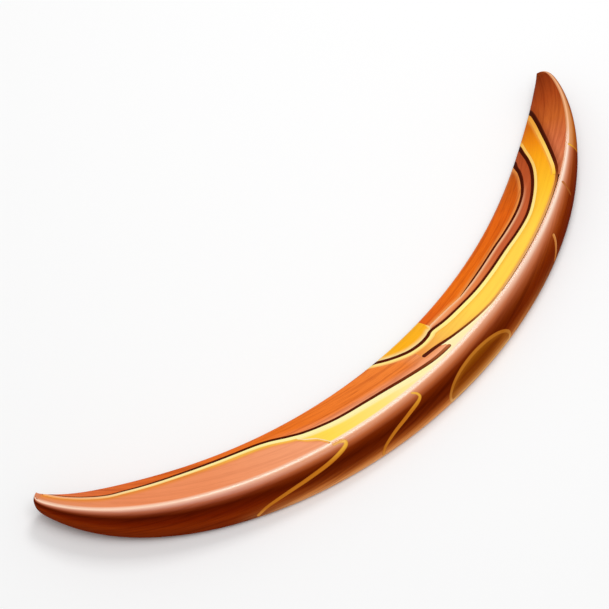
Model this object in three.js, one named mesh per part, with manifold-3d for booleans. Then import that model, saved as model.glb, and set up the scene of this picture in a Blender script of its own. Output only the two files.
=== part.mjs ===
// Crescent throwing boomerang: a shaped hardwood blank whose top face is inlaid with panels and
// stringing of coloured woods, and whose outer side carries thin let-in lines and an oval.
// Millimetres, +Z up. The blade is described along its ridge line: "along" runs from -1 at the
// left tip to +1 at the right tip, and "across" is measured from the ridge toward the inner
// (concave) edge. "down" runs over the outer side, from 0 at the ridge to 1 at its widest line.
import * as THREE from "three";
import { mergeVertices } from "three/addons/utils/BufferGeometryUtils.js";
import Module from "manifold-3d";

const wasm = await Module();
wasm.setup();

// Plan of the blade
const armLength = 265; // ridge line, from the middle of the blade to either tip
const armBend = 39.7; // degrees that the ridge line turns evenly over one arm
const tipBend = 35; // degrees more that it turns, mostly near the tip
const faceWidth = 35.6; // ridge to inner edge at the middle
const sideWidth = 16.9; // ridge to outermost point at the middle
const faceTaper = 0.813; // share of the face width lost at the tips
const sideTaper = 8.9; // how much narrower the outer side is toward the tips
const sideFade = 0.936; // further thinning of the outer side toward the tips, as a squared share
const tipCentre = 6.2; // middle of the rounded tips, from the ridge
const tipRoundness = 92; // power that draws the section in at the tips: higher is blunter

// Heights above the flat underside
const ridgeHeight = 21.2; // ridge at the middle
const ridgeRise = 18.1; // rise of the ridge along the arms
const ridgeDip = 20.2; // fall of the ridge again at the tips
const innerHeight = 5.4; // top face at the inner edge
const outerHeight = 2.3; // widest line of the outer side, at the middle
const tipHeight = 17.1; // middle of the rounded tips
const tipLift = 5; // underside at the tips
const flatShare = 0.7; // share of each arm over which the underside lies flat
const faceCrown = 0.8; // bulge of the top face between ridge and inner edge
const edgeRadius = 3; // rounding of the inner edge
const waistShare = 0.55; // height of the inner edge's outermost line, as a share of its thickness
const cornerEnd = 1.2; // "down" at which the lower corner of the outer side meets the underside
const cornerStretch = 1.1; // width of that corner over its height

// Inlay
const fitGap = 0.3; // clearance between any two pieces
const inlayDepth = 2.6; // depth of the top recess
const railWidth = 0.8; // solid wood left standing beside the ridge
const recessEnd = 0.985; // share of the arm at which the recess stops
const darkWidth = 2.0; // dark stringing
const paleWidth = 2.8; // pale stringing laid beside the dark
const sideDepth = 1.6; // grooves in the outer side
const sideWidths = { long: 2.4, short: 1.6 }; // let-in lines of the outer side

// Shaping of the solids
const stationCount = 52; // rings along the blade
const cutterReach = 6; // how far a cutter for the top recess passes the inner edge
const cutterHeight = 50; // height that clears the whole blade
const sideReach = 2; // how far a cutter for the outer side stands proud of it
const ovalSteps = 14;
const patchSteps = 4;

const woods = {
  walnut: { color: 0x6b2c12, roughness: 0.3 },
  ebony: { color: 0x3a1408, roughness: 0.3 },
  pale: { color: 0xffe68c, roughness: 0.3 },
  gold: { color: 0xfbc02e, roughness: 0.3 },
  amber: { color: 0xf2a21a, roughness: 0.3 },
  orange: { color: 0xdb6a26, roughness: 0.3 },
  rose: { color: 0xe08355, roughness: 0.3 },
  red: { color: 0xb05030, roughness: 0.3 },
  honey: { color: 0x9a5a12, roughness: 0.3 },
};

// Stringing of the top face, as points in percent of the arm along and of the face width across.
const nearLine = [
  [-98.4, 26], [-92.9, 32], [-83, 43], [-77.1, 56], [-66.2, 72], [-56.4, 79.5], [-45.5, 81], [-39.5, 76],
  [-34.1, 62], [-30.2, 53], [-22.7, 43.5], [-14.8, 39], [-8.9, 34], [-3.8, 27.5], [3.8, 17], [7.5, 14],
  [10.9, 13.5],
];
const upperLine = [
  [-5.9, 112], [-4.4, 104], [-2, 90], [0, 80], [2.7, 69.5], [4.9, 63.5], [7.9, 60], [10.4, 61],
  [12.5, 64], [16.8, 57.6], [22.7, 52.5], [28.3, 48], [34, 46], [41.5, 44], [47.2, 39], [52.4, 36],
  [56.4, 38], [62.3, 45], [67.9, 55], [71.7, 65], [75.4, 76], [79.1, 84], [83.7, 94],
];
const innerLine = [
  [24.7, 65], [33.6, 65.5], [41.5, 65], [47.2, 61], [52.4, 58], [56.4, 57.5], [60.3, 60], [64.3, 67],
  [67.9, 76], [70.2, 84], [72.2, 88], [75.6, 97],
];
const farLine = [
  [4.4, 35.5], [8.2, 31.8], [11, 26.8], [13.2, 22.5], [16.5, 17.2], [20, 12], [23.5, 8], [27.7, 5.2],
  [37.6, 5.2], [49.4, 5.2], [61.3, 5.6], [64.9, 7], [67.9, 12], [71.7, 22.5], [75.4, 32], [80.1, 42],
  [85, 49], [90.6, 55], [94.9, 62],
];

// Plain butt joints between two panels, in the same percentages.
const roseToPale = [[-35.6, 66], [-32.1, 37], [-29.7, 25], [-28.2, 8], [-27.7, -10]];
const orangeToPale = [[4.4, 35.5], [9.6, 25.5], [10.6, 20], [10.9, 13.5]];
const orangeToGold = [[4.4, 35.5], [8.4, 60.5]];
const amberToOrange = [[12.5, 64], [13.5, 74.5], [13.5, 120]];
const redToOrange = [[13.5, 74.5], [16.8, 73], [20.8, 70], [24.7, 65]];

// Let-in lines of the outer side, as points of percent along and down.
const sideLines = {
  side_line_long: { width: sideWidths.long, wood: "gold", points: [
    [-28, 4], [-26.2, 5], [-25, 13], [-26, 24], [-30.2, 38], [-36.6, 51], [-42.5, 64], [-47, 79],
    [-49.4, 97],
  ] },
  side_line_middle: { width: sideWidths.long, wood: "gold", points: [
    [-5.3, 6], [-4.2, 18], [-4.7, 30], [-8.9, 42], [-13.3, 55], [-16.4, 70], [-17.6, 84], [-17.8, 97],
  ] },
  side_line_short: { width: sideWidths.long, wood: "gold", points: [
    [50, 40], [49.4, 57], [48.2, 76], [46.8, 95],
  ] },
  side_line_fine: { width: sideWidths.short, wood: "honey", points: [
    [63.6, 10], [62.9, 33], [62.5, 60],
  ] },
  side_line_tip: { width: sideWidths.short, wood: "gold", points: [
    [74.4, 6], [74.4, 28], [74.7, 50], [75.2, 68], [75.8, 82],
  ] },
};
const oval = { centre: 13.2, halfLength: 11.3, middle: 84, halfHeight: 50, lowest: 100 };
const tipPatch = { start: 76.6, end: 88, top: 10, bottom: 70 };

// ---------------------------------------------------------------- blade surface

function headingAt(along) {
  const tipTurn = Math.sign(along) * tipBend * Math.abs(along) ** 4.8;
  return THREE.MathUtils.degToRad(armBend * along + tipTurn);
}

// Point and heading of the ridge line in plan.
function ridgeAt(along) {
  const steps = 40;
  const step = along / steps;
  let x = 0;
  let y = 0;
  for (let i = 0; i < steps; i++) {
    const heading = headingAt((i + 0.5) * step);
    x += Math.cos(heading) * step * armLength;
    y += Math.sin(heading) * step * armLength;
  }
  return { x, y, heading: headingAt(along) };
}

// Places points of one station, given across and up, in space.
function stationPoints(along, points) {
  const ridge = ridgeAt(along);
  return points.map(({ across, z }) => {
    const x = ridge.x - Math.sin(ridge.heading) * across;
    const y = ridge.y + Math.cos(ridge.heading) * across;
    return new THREE.Vector3(x, y, z);
  });
}

// Widths and heights of the cross-section at one station. "close" draws a point in at the tips.
function profileAt(along) {
  const a = Math.abs(along);
  const closing = Math.sqrt(1 - a ** tipRoundness);
  const lifted = Math.max(a - flatShare, 0) / (1 - flatShare);
  return {
    inner: faceWidth * (1 - faceTaper * a ** 6.3),
    outer: (sideWidth - sideTaper * a ** 2) * Math.sqrt(1 - sideFade * a ** 2.25),
    ridge: ridgeHeight + ridgeRise * a ** 2 - ridgeDip * a ** 6,
    edge: innerHeight + (tipHeight - innerHeight) * a ** 16,
    side: outerHeight + (tipHeight - outerHeight) * a ** 4,
    under: tipLift * lifted ** 2,
    close: ({ across, z }) => ({
      across: tipCentre + (across - tipCentre) * closing,
      z: tipHeight + (z - tipHeight) * closing,
    }),
  };
}

function faceHeight(profile, across) {
  const share = across / profile.inner;
  const crown = faceCrown * 4 * share * (1 - share);
  return profile.ridge + (profile.edge - profile.ridge) * share + crown;
}

// Point of the outer side. Past down = 1 it turns round the lower corner, and reaches the flat
// underside at cornerEnd. "proud" moves the point outward.
function sidePoint(profile, down, proud = 0) {
  const turn = Math.min(down, 1) * Math.PI / 2;
  const tuck = Math.max(down - 1, 0) / (cornerEnd - 1) * Math.PI / 2;
  const drop = profile.side - profile.under;
  const corner = Math.min(drop * cornerStretch, (profile.inner + profile.outer) / 2);
  const across = -profile.outer * Math.sin(turn) + corner * (1 - Math.cos(tuck));
  const z = profile.side + (profile.ridge - profile.side) * Math.cos(turn) - drop * Math.sin(tuck);
  const lean = turn + tuck;
  return profile.close({ across: across - proud * Math.sin(lean), z: z + proud * Math.cos(lean) });
}

// Closed outline of the blade at one station: outer side, underside, inner edge, top face.
function bladeSection(along) {
  const profile = profileAt(along);
  const radius = Math.min(edgeRadius, profile.inner / 2);
  const waist = profile.under + (profile.edge - profile.under) * waistShare;
  const shoulder = faceHeight(profile, profile.inner - radius);
  const add = (across, z) => points.push(profile.close({ across, z }));
  const points = [];
  for (let i = 0; i <= 7; i++) {
    points.push(sidePoint(profile, i / 7));
  }
  for (let i = 1; i <= 3; i++) {
    points.push(sidePoint(profile, 1 + (cornerEnd - 1) * i / 3));
  }
  for (let i = 0; i <= 2; i++) {
    const turn = i * Math.PI / 4;
    const across = profile.inner - radius + radius * Math.sin(turn);
    add(across, waist - (waist - profile.under) * Math.cos(turn));
  }
  for (let i = 1; i <= 2; i++) {
    const turn = i * Math.PI / 6;
    const across = profile.inner - radius + radius * Math.cos(turn);
    add(across, waist + (shoulder - waist) * Math.sin(turn));
  }
  for (let i = 0; i <= 2; i++) {
    const across = (profile.inner - radius) * (1 - i / 3);
    add(across, faceHeight(profile, across));
  }
  return points;
}

// Outline of a cutter that opens the top face to a depth, from near the ridge to past the edge.
function recessSection(along, start, depth) {
  const profile = profileAt(along);
  const past = profile.inner + cutterReach;
  const points = [];
  for (let i = 0; i <= 3; i++) {
    const across = start + (profile.inner - start) * i / 3;
    const top = profile.close({ across, z: faceHeight(profile, across) });
    points.push({ across: top.across, z: top.z - depth });
  }
  points.push(
    { across: past, z: points[3].z - 0.5 },
    { across: past, z: cutterHeight },
    { across: points[0].across, z: cutterHeight },
  );
  return points;
}

// ---------------------------------------------------------------- solids

// Closed mesh as a solid.
function toSolid(geometry) {
  const bare = geometry.clone();
  bare.deleteAttribute("normal");
  bare.deleteAttribute("uv");
  const merged = mergeVertices(bare);
  const vertProperties = merged.attributes.position.array;
  const triVerts = new Uint32Array(merged.index.array);
  return new wasm.Manifold(new wasm.Mesh({ numProp: 3, vertProperties, triVerts }));
}

// Solid through a row of rings with the same number of points, closed by a fan at each end.
function loft(rings) {
  const count = rings[0].length;
  const points = rings.flat();
  const index = [];
  for (let i = 0; i + 1 < rings.length; i++) {
    for (let j = 0; j < count; j++) {
      const a = i * count + j;
      const b = i * count + (j + 1) % count;
      index.push(a, b, a + count, b, b + count, a + count);
    }
  }
  const last = points.length - count;
  for (let j = 0; j < count; j++) {
    const next = (j + 1) % count;
    index.push(points.length, next, j);
    index.push(points.length + 1, last + j, last + next);
  }
  const centres = [rings[0], rings.at(-1)].map((ring) => {
    const total = ring.reduce((sum, point) => sum.add(point), new THREE.Vector3());
    return total.divideScalar(count);
  });
  const geometry = new THREE.BufferGeometry().setFromPoints([...points, ...centres]);
  geometry.setIndex(index);
  return toSolid(geometry);
}

// Solid along the blade, with stations closer together toward the tips.
function bladeLoft(sectionAt, end) {
  const rings = [];
  for (let i = 0; i <= stationCount; i++) {
    const along = -end * Math.cos(Math.PI * i / stationCount);
    rings.push(stationPoints(along, sectionAt(along)));
  }
  return loft(rings);
}

// Smooth run of a line given in percent, as shares of the arm and of the face width.
function smooth(line, perPoint = 2) {
  const controls = line.map(([along, across]) => new THREE.Vector2(along / 100, across / 100));
  return new THREE.SplineCurve(controls).getPoints((line.length - 1) * perPoint);
}

function slice(line, from, to) {
  return smooth(line).filter((point) => point.x >= from && point.x <= to);
}

// Plan positions of points given as shares.
function onPlan(points) {
  return points.map((point) => {
    const [place] = stationPoints(point.x, [{ across: point.y * faceWidth, z: 0 }]);
    return new THREE.Vector2(place.x, place.y);
  });
}

// Upright solid over an outline in plan.
function upright(outline) {
  const options = { depth: 2 * cutterHeight, bevelEnabled: false };
  const geometry = new THREE.ExtrudeGeometry(new THREE.Shape(outline), options);
  geometry.translate(0, 0, -cutterHeight);
  return toSolid(geometry);
}

// Upright strip beside a line, between two distances from it toward the inner edge. The strip is
// longer than the line by "extra" at each end.
function strip(points, low, high, extra) {
  const path = onPlan(points);
  const first = path[0].clone().sub(path[1]).setLength(extra);
  const last = path.at(-1).clone().sub(path.at(-2)).setLength(extra);
  path[0] = path[0].clone().add(first);
  path[path.length - 1] = path.at(-1).clone().add(last);
  const aside = (distance) => path.map((point, i) => {
    const before = path[Math.max(i - 1, 0)];
    const after = path[Math.min(i + 1, path.length - 1)];
    const direction = after.clone().sub(before).normalize();
    return new THREE.Vector2(point.x - direction.y * distance, point.y + direction.x * distance);
  });
  return upright([...aside(low), ...aside(high).reverse()]);
}

// Upright solid over an area. Its long edges are divided, so that they bend with the blade.
function region(points) {
  const longest = 0.05;
  const divided = points.flatMap((point, i) => {
    const next = points[(i + 1) % points.length];
    const count = Math.ceil(Math.abs(next.x - point.x) / longest) || 1;
    return Array.from({ length: count }, (_, k) => point.clone().lerp(next, k / count));
  });
  return upright(onPlan(divided));
}

// Points given in percent, as shares.
function corners(...pairs) {
  return pairs.map(([along, across]) => new THREE.Vector2(along / 100, across / 100));
}

// ---------------------------------------------------------------- top inlay

const blade = bladeLoft(bladeSection, 0.9995);
const recess = bladeLoft((along) => recessSection(along, railWidth, inlayDepth), recessEnd);
const inlayEnd = recessEnd - fitGap / armLength;
const inlayStock = blade.intersect(bladeLoft(
  (along) => recessSection(along, railWidth + fitGap, inlayDepth - fitGap), inlayEnd));

const half = darkWidth / 2;
const darkStrings = {
  near_dark_line: smooth(nearLine),
  upper_dark_line: smooth(upperLine),
  inner_dark_line: smooth(innerLine),
  far_dark_line: smooth(farLine),
};
const paleStrings = {
  near_pale_line: { points: slice(nearLine, -0.99, 0.03), side: -1 },
  upper_pale_line: { points: smooth(upperLine), side: -1 },
  far_pale_line: { points: slice(farLine, 0.66, 1), side: 1 },
};
const joints = [roseToPale, orangeToPale, orangeToGold, amberToOrange, redToOrange];

// Room that the dark lines need in the panels and in the pale lines.
function darkRoom() {
  const reach = half + fitGap;
  const cuts = Object.values(darkStrings).map((points) => strip(points, -reach, reach, fitGap));
  return cuts.reduce((all, cut) => all.add(cut));
}

function paleStrip({ points, side }, gap) {
  const far = side * (half + fitGap + paleWidth + gap);
  return side < 0 ? strip(points, far, 0, gap) : strip(points, 0, far, gap);
}

function stringingPieces(room) {
  const pieces = {};
  for (const [name, points] of Object.entries(darkStrings)) {
    pieces[name] = { solid: inlayStock.intersect(strip(points, -half, half, 0)), wood: "ebony" };
  }
  for (const [name, string] of Object.entries(paleStrings)) {
    const solid = inlayStock.intersect(paleStrip(string, 0)).subtract(room);
    pieces[name] = { solid, wood: "pale" };
  }
  return pieces;
}

// Panels as [wood, outline]. Each outline runs along the middle of the lines round the panel.
function panelOutlines() {
  const past = 120; // percent across, past the inner edge
  const before = -10; // percent across, past the ridge
  return {
    near_rose_panel: ["rose", [
      ...slice(nearLine, -1, -0.35),
      ...corners(...roseToPale, [-102, before], [-102, 26]),
    ]],
    near_pale_panel: ["pale", [
      ...corners(...roseToPale).reverse(),
      ...slice(nearLine, -0.34, 0.11),
      ...corners(...orangeToPale.slice(1, -1)).reverse(),
      ...slice(farLine, 0.1, 0.3),
      ...corners([30, before]),
    ]],
    middle_orange_panel: ["orange", [
      ...slice(nearLine, -1, 0.11),
      ...corners(...orangeToPale.slice(0, -1)).reverse(),
      ...corners(...orangeToGold.slice(1)),
      ...slice(upperLine, -0.06, 0.08).reverse(),
      ...corners([-6, past], [-102, past]),
    ]],
    amber_panel: ["amber", [
      ...slice(upperLine, -0.06, 0.126),
      ...corners(...amberToOrange.slice(1), [-6, past]),
    ]],
    upper_orange_panel: ["orange", [
      ...corners(...redToOrange),
      ...slice(innerLine, 0.26, 0.765),
      ...corners([76.5, past], [amberToOrange[1][0], past]),
    ]],
    red_panel: ["red", [
      ...slice(upperLine, 0.126, 0.847),
      ...slice(innerLine, 0.26, 0.765).reverse(),
      ...corners(...redToOrange).reverse(),
    ]],
    golden_panel: ["gold", [
      ...slice(farLine, 0, 1),
      ...slice(upperLine, 0.09, 0.9).reverse(),
    ]],
    far_tip_panel: ["red", [
      ...slice(farLine, 0.6, 1),
      ...corners([103, 62], [103, before], [60, before]),
    ]],
  };
}

function panelPieces(room) {
  let stock = inlayStock.subtract(room);
  for (const string of Object.values(paleStrings)) {
    stock = stock.subtract(paleStrip(string, fitGap));
  }
  for (const joint of joints) {
    stock = stock.subtract(strip(corners(...joint), -fitGap / 2, fitGap / 2, 0));
  }
  const pieces = {};
  for (const [name, [wood, outline]] of Object.entries(panelOutlines())) {
    pieces[name] = { solid: stock.intersect(region(outline)), wood };
  }
  return pieces;
}

// ---------------------------------------------------------------- outer side

// Cutter that follows a line over the outer side.
function sideGroove(points, width, depth) {
  const path = smooth(points, 3);
  const place = (point, proud) => {
    const [spot] = stationPoints(point.x, [sidePoint(profileAt(point.x), point.y, proud)]);
    return spot;
  };
  const rings = path.map((point, i) => {
    const before = place(path[Math.max(i - 1, 0)], 0);
    const after = place(path[Math.min(i + 1, path.length - 1)], 0);
    const spot = place(point, 0);
    const outward = place(point, 1).sub(spot).normalize();
    const aside = outward.clone().cross(after.sub(before)).setLength(width / 2);
    const top = spot.clone().addScaledVector(outward, sideReach);
    const floor = spot.clone().addScaledVector(outward, -depth);
    return [
      top.clone().add(aside), top.clone().sub(aside),
      floor.clone().sub(aside), floor.clone().add(aside),
    ];
  });
  return loft(rings);
}

// Cutter over an area of the outer side, given as rows of along, top and bottom.
function sidePatch(rows, depth) {
  const rings = rows.map(({ along, top, bottom }) => {
    const profile = profileAt(along);
    const downs = [0, 0.25, 0.5, 0.75, 1].map((share) => top + (bottom - top) * share);
    const outer = downs.map((down) => sidePoint(profile, down, sideReach));
    const inner = downs.map((down) => sidePoint(profile, down, -depth)).reverse();
    return stationPoints(along, [...outer, ...inner]);
  });
  return loft(rings);
}

// Distance over the outer side from the ridge to its widest line, at the middle of the blade.
const sideRun = (ridgeHeight - outerHeight + sideWidth) * Math.PI / 4;

// Rows of the oval, smaller by "inset" millimetres all round.
function ovalRows(inset) {
  const rows = [];
  for (let i = 1; i < ovalSteps; i++) {
    const turn = Math.PI * i / ovalSteps;
    const halfLength = oval.halfLength / 100 - inset / armLength;
    const halfHeight = (oval.halfHeight / 100 - inset / sideRun) * Math.sin(turn);
    rows.push({
      along: oval.centre / 100 - halfLength * Math.cos(turn),
      top: oval.middle / 100 - halfHeight,
      bottom: Math.min(oval.middle / 100 + halfHeight, oval.lowest / 100 - inset / sideRun),
    });
  }
  return rows;
}

// Rows of the patch near the right tip, larger by "grow" millimetres all round.
function tipRows(grow) {
  const start = tipPatch.start / 100 - grow / armLength;
  const end = tipPatch.end / 100 + grow / armLength;
  const rows = [];
  for (let i = 0; i <= patchSteps; i++) {
    rows.push({
      along: start + (end - start) * i / patchSteps,
      top: tipPatch.top / 100 - grow / sideRun,
      bottom: tipPatch.bottom / 100 + grow / sideRun,
    });
  }
  return rows;
}

function sidePieces() {
  const pieces = {};
  const room = [];
  for (const [name, { points, width, wood }] of Object.entries(sideLines)) {
    const solid = blade.intersect(sideGroove(points, width, sideDepth - fitGap));
    pieces[name] = { solid, wood };
    room.push(sideGroove(points, width + 2 * fitGap, sideDepth));
  }
  const ring = sidePatch(ovalRows(0), sideDepth - fitGap);
  const middle = sidePatch(ovalRows(sideWidths.long), sideDepth);
  const fill = sidePatch(ovalRows(sideWidths.long + fitGap), sideDepth - fitGap);
  pieces.oval_ring = { solid: blade.intersect(ring).subtract(middle), wood: "gold" };
  pieces.oval_panel = { solid: blade.intersect(fill), wood: "honey" };
  const patch = sidePatch(tipRows(0), sideDepth - fitGap);
  pieces.far_side_panel = { solid: blade.intersect(patch), wood: "amber" };
  room.push(sidePatch(ovalRows(-fitGap), sideDepth), sidePatch(tipRows(fitGap), sideDepth));
  return { pieces, room };
}

// ---------------------------------------------------------------- assembly

function toMesh(name, { solid, wood }) {
  const mesh = solid.getMesh();
  const geometry = new THREE.BufferGeometry();
  geometry.setAttribute("position", new THREE.Float32BufferAttribute(mesh.vertProperties, 3));
  geometry.setIndex([...mesh.triVerts]);
  geometry.computeVertexNormals();
  const material = new THREE.MeshStandardMaterial({ ...woods[wood], metalness: 0 });
  const made = new THREE.Mesh(geometry, material);
  made.name = name;
  return made;
}

const room = darkRoom();
const side = sidePieces();
let core = blade.subtract(recess);
for (const cutter of side.room) {
  core = core.subtract(cutter);
}
const pieces = {
  core_blank: { solid: core, wood: "walnut" },
  ...panelPieces(room),
  ...stringingPieces(room),
  ...side.pieces,
};

// The origin is at the middle of the box round the blade, on the underside.
const boomerang = new THREE.Group();
for (const [name, piece] of Object.entries(pieces)) {
  boomerang.add(toMesh(name, piece));
}
const box = new THREE.Box3().setFromObject(boomerang);
boomerang.position.set(-(box.min.x + box.max.x) / 2, -(box.min.y + box.max.y) / 2, -box.min.z);

const scene = new THREE.Group();
scene.add(boomerang);
export default scene;
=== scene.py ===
"""Inlaid crescent boomerang: the looks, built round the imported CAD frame.

The blade is described as in the CAD model: "along" runs from -1 at the left tip to +1 at the right
tip on the ridge line, "across" is millimetres from the ridge toward the inner edge, and "down"
runs over the outer side from 0 at the ridge to 1 at its widest line. The meshes carry such measures
as fields for their materials: low, high and rim are distances from a piece's edges, drop is the
length of the section below the ridge, and rail is the distance across the rail beside the ridge.
"""
import math

import bmesh
import bpy
import numpy as np
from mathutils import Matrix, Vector


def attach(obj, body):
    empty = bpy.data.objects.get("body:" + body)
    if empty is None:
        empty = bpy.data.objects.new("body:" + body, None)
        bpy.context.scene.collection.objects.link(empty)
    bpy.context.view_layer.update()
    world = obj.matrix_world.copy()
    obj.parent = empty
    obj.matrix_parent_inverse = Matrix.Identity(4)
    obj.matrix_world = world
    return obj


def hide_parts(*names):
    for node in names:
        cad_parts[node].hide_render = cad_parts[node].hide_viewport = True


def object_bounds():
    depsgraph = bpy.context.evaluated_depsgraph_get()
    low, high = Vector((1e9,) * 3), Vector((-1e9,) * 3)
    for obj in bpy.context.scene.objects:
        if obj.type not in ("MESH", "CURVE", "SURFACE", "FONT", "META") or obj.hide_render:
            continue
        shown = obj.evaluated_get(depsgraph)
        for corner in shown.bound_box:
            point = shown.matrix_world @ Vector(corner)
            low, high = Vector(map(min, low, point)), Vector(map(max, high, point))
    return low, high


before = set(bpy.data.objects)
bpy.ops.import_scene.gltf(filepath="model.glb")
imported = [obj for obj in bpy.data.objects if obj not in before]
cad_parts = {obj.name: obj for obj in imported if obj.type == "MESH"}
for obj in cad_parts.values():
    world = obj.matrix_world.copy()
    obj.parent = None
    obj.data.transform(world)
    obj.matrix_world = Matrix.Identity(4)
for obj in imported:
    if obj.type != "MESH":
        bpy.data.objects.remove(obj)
CAD_LOW, CAD_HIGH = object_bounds()

# Blade, millimetres and degrees, as in the CAD model
ARM_LENGTH = 265.0
ARM_BEND = 39.7
TIP_BEND = 35.0
TIP_BEND_POWER = 4.8
FACE_WIDTH = 35.6
SIDE_WIDTH = 16.9
FACE_TAPER = 0.813
FACE_TAPER_POWER = 6.3
SIDE_TAPER = 8.9
SIDE_FADE = 0.936
SIDE_FADE_POWER = 2.25
TIP_CENTRE = 6.2
TIP_ROUNDNESS = 92
RIDGE_HEIGHT = 21.2
RIDGE_RISE = 18.1
RIDGE_DIP = 20.2
RIDGE_DIP_POWER = 6
INNER_HEIGHT = 5.4
INNER_RISE_POWER = 16
OUTER_HEIGHT = 2.3
OUTER_RISE_POWER = 4
TIP_HEIGHT = 17.1
TIP_LIFT = 5.0
FLAT_SHARE = 0.7
FACE_CROWN = 0.8
EDGE_RADIUS = 3.0
WAIST_SHARE = 0.55
CORNER_END = 1.2
CORNER_STRETCH = 1.1
INLAY_DEPTH = 2.6
FIT_GAP = 0.3
RAIL_WIDTH = 0.8
RECESS_END = 0.985
SIDE_DEPTH = 1.3  # the grooves are a fit gap deeper

# Finish of the real surface, millimetres
TIP_END = 0.99995  # last station of the blade
CREST = 3.0  # width over which the ridge is rounded
EDGE_RUN = 1.4  # length of the inner edge's rounding, in radii
SEAM = 0.04  # hairline between two inlays
PROUD = 0.04  # lacquer over the lines of the outer side
LIFT = 0.03  # how far lines stand over the panels beside them
THINNEST = 0.02  # thickness of a top inlay where the blade thins out
NARROWEST = 0.03  # width at which a panel ends in a point

# Detail of the meshes
PANEL_STEP = 1.2  # millimetres between a panel's rows
PANEL_COLUMNS = 28
LINE_COLUMNS = 7
SIDE_LINE_COLUMNS = 9
BLADE_STATIONS = 561
MERGE = 2e-6  # metres
SHARP_CORNER = 38  # degrees

# Values of the blank's field "down" past the outer side
UNDERSIDE = 2.0
INNER_EDGE = 2.5
TOP_FACE = 3.0

MM = 0.001
RIDGE_Y = CAD_LOW.y / MM + SIDE_WIDTH  # ridge line at the middle of the blade


# ------------------------------------------------------------------ blade surface

def heading(along):
    bend = ARM_BEND * along + np.sign(along) * TIP_BEND * np.abs(along) ** TIP_BEND_POWER
    return np.radians(bend)


def ridge_table():
    """Plan of the ridge line, integrated from its heading."""
    along = np.linspace(-1.0, 1.0, 4001)
    turn = heading(along)
    step = np.diff(along) * ARM_LENGTH
    x = np.concatenate([[0.0], np.cumsum((np.cos(turn[1:]) + np.cos(turn[:-1])) / 2 * step)])
    y = np.concatenate([[0.0], np.cumsum((np.sin(turn[1:]) + np.sin(turn[:-1])) / 2 * step)])
    middle = len(along) // 2
    return along, x - x[middle], y - y[middle]


RIDGE = ridge_table()


def place(along, across, z):
    """Points in the row frame, in metres, from arrays of along, across and height."""
    turn = heading(along)
    x = np.interp(along, RIDGE[0], RIDGE[1]) - np.sin(turn) * across
    y = np.interp(along, RIDGE[0], RIDGE[2]) + np.cos(turn) * across + RIDGE_Y
    return np.stack([x, y, z], axis=-1) * MM


class Profile:
    """Widths and heights of the cross-section at an array of stations."""

    def __init__(self, along):
        a = np.abs(along)
        lifted = np.maximum(a - FLAT_SHARE, 0) / (1 - FLAT_SHARE)
        self.inner = FACE_WIDTH * (1 - FACE_TAPER * a ** FACE_TAPER_POWER)
        fade = np.sqrt(1 - SIDE_FADE * a ** SIDE_FADE_POWER)
        self.outer = (SIDE_WIDTH - SIDE_TAPER * a ** 2) * fade
        self.sharp_ridge = RIDGE_HEIGHT + RIDGE_RISE * a ** 2 - RIDGE_DIP * a ** RIDGE_DIP_POWER
        self.edge = INNER_HEIGHT + (TIP_HEIGHT - INNER_HEIGHT) * a ** INNER_RISE_POWER
        self.side = OUTER_HEIGHT + (TIP_HEIGHT - OUTER_HEIGHT) * a ** OUTER_RISE_POWER
        self.under = TIP_LIFT * lifted ** 2
        self.closing = np.sqrt(1 - a ** TIP_ROUNDNESS)
        self.radius = np.minimum(EDGE_RADIUS, self.inner / 2)
        self.bend = self.inner - self.radius
        self.waist = self.under + (self.edge - self.under) * WAIST_SHARE
        self.crest = np.minimum(CREST, self.bend / 2)
        self.slope = (self.flat_face(0) - self.flat_face(self.crest)) / self.crest
        self.ridge = self.face(np.zeros_like(a))

    def close(self, across, z):
        """Draws points in toward the middle of the rounded tips."""
        return (TIP_CENTRE + (across - TIP_CENTRE) * self.closing,
                TIP_HEIGHT + (z - TIP_HEIGHT) * self.closing)

    def from_plan(self, across):
        """Distance across before the tips draw it in, from a distance in plan."""
        return TIP_CENTRE + (across - TIP_CENTRE) / self.closing

    def flat_face(self, across):
        share = across / self.inner
        crown = FACE_CROWN * 4 * share * (1 - share)
        return self.sharp_ridge + (self.edge - self.sharp_ridge) * share + crown

    def face(self, across):
        """Height of the top face, rounded over the ridge."""
        short = np.maximum(self.crest - across, 0)
        rounded = self.flat_face(self.crest) + self.slope * (short - short ** 2 / (2 * self.crest))
        return np.where(across < self.crest, rounded, self.flat_face(across))

    def run_end(self):
        """Length of the run from the ridge over the face and round the inner edge."""
        return self.bend + self.radius * EDGE_RUN

    def to_run(self, across):
        """Run of a point of the face from its distance across."""
        share = 1 - np.sqrt(np.clip((self.inner - across) / self.radius, 0, 1))
        return np.where(across < self.bend, across, self.bend + self.radius * EDGE_RUN * share)

    def top(self, run):
        """Across and height of the top surface at a run, rounding over the inner edge."""
        t = np.clip((run - self.bend) / (self.radius * EDGE_RUN), 0, 1)
        across = np.where(run < self.bend, run, self.inner - self.radius * (1 - t) ** 2)
        shoulder = self.flat_face(self.bend)
        rounded = (1 - t) ** 2 * shoulder + 2 * t * (1 - t) * self.edge + t ** 2 * self.waist
        return across, np.where(run < self.bend, self.face(across), rounded)

    def side_point(self, down, proud=0.0):
        """Outer side; past down = 1 it turns round the lower corner, flat at CORNER_END."""
        turn = np.minimum(down, 1) * np.pi / 2
        tuck = np.maximum(down - 1, 0) / (CORNER_END - 1) * np.pi / 2
        drop = self.side - self.under
        corner = np.minimum(drop * CORNER_STRETCH, (self.inner + self.outer) / 2)
        across = -self.outer * np.sin(turn) + corner * (1 - np.cos(tuck))
        z = self.side + (self.ridge - self.side) * np.cos(turn) - drop * np.sin(tuck)
        lean = turn + tuck
        return self.close(across - proud * np.sin(lean), z + proud * np.cos(lean))


def side_place(along, down, proud=0.0):
    """Points of the outer side in the row frame."""
    return place(along, *Profile(along).side_point(down, proud))


# ------------------------------------------------------------------ meshes

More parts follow.
